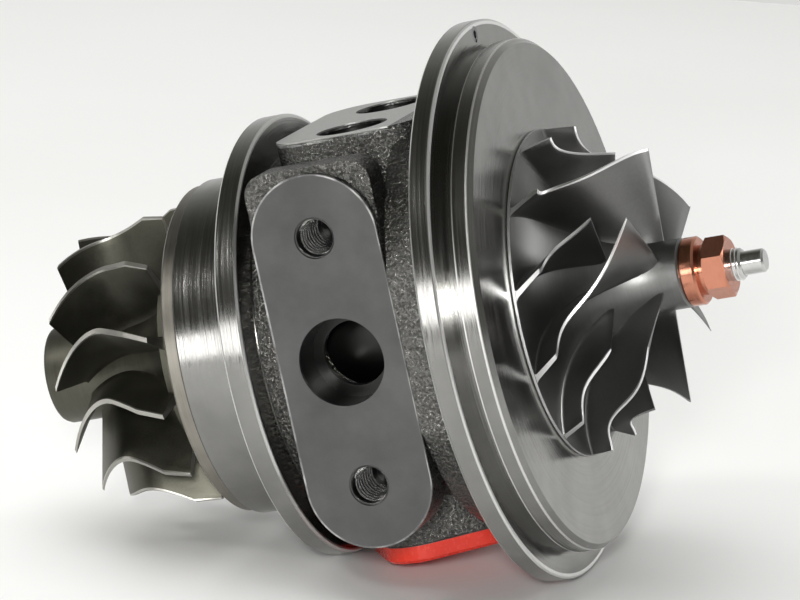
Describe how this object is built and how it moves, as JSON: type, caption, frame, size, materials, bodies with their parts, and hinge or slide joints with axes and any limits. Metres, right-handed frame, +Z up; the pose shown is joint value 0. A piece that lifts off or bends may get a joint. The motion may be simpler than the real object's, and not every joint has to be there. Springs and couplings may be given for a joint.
{
  "type": "turbocharger cartridge",
  "caption": "Turbocharger centre cartridge: iron bearing housing whose shaft carries a bladed compressor wheel at the front and a bladed turbine wheel at the back.",
  "frame": {"origin": "on the shaft axis, in the plane of the compressor flange's front face", "axes": "+X along the shaft towards the compressor end, +Z up towards the oil feed pad, Y across the coolant pads"},
  "size_m": [0.1401, 0.104, 0.104],
  "materials": {
    "housing_iron": "turned and milled faces on a rough casting",
    "shield_steel": "pressed sheet",
    "spring_steel": "dull",
    "red_plastic": "satin",
    "bronze": "turned",
    "plate_aluminium": "turned",
    "black_rubber": "matte",
    "ring_iron": "ground",
    "turbine_alloy": "as cast, dull",
    "shaft_steel": "ground",
    "wheel_aluminium": "cast blades with turned edges",
    "copper_nut": "copper plated"
  },
  "bodies": {
    "housing": {"bearing_housing": "housing_iron", "heat_shield": "shield_steel", "locating_pin": "spring_steel", "drain_cap": "red_plastic", "turbine_ring_outer": "spring_steel", "turbine_ring_inner": "spring_steel", "compressor_ring_inner": "spring_steel", "compressor_ring_outer": "spring_steel", "thrust_bearing": "bronze", "oil_deflector": "shield_steel", "seal_plate": "plate_aluminium", "seal_plate_o_ring": "black_rubber", "seal_plate_snap_ring": "spring_steel", "turbine_piston_ring": "ring_iron", "compressor_piston_ring": "ring_iron"},
    "rotor": {"turbine_wheel": "turbine_alloy", "rotor_shaft": "shaft_steel", "thrust_ring": "shaft_steel", "flinger_sleeve": "shaft_steel", "compressor_wheel": "wheel_aluminium", "lock_nut": "copper_nut"},
    "turbine_bush": {"turbine_bearing": "bronze"},
    "compressor_bush": {"compressor_bearing": "bronze"}
  },
  "joints": [
    {"name": "rotor_spin", "type": "hinge", "parent": "housing", "child": "rotor", "pos_m": [0, 0, 0], "axis": [1, 0, 0], "continuous": true},
    {"name": "turbine_bush_spin", "type": "hinge", "parent": "housing", "child": "turbine_bush", "pos_m": [-0.0425, 0, 0], "axis": [1, 0, 0], "continuous": true},
    {"name": "compressor_bush_spin", "type": "hinge", "parent": "housing", "child": "compressor_bush", "pos_m": [-0.0195, 0, 0], "axis": [1, 0, 0], "continuous": true}
  ]
}
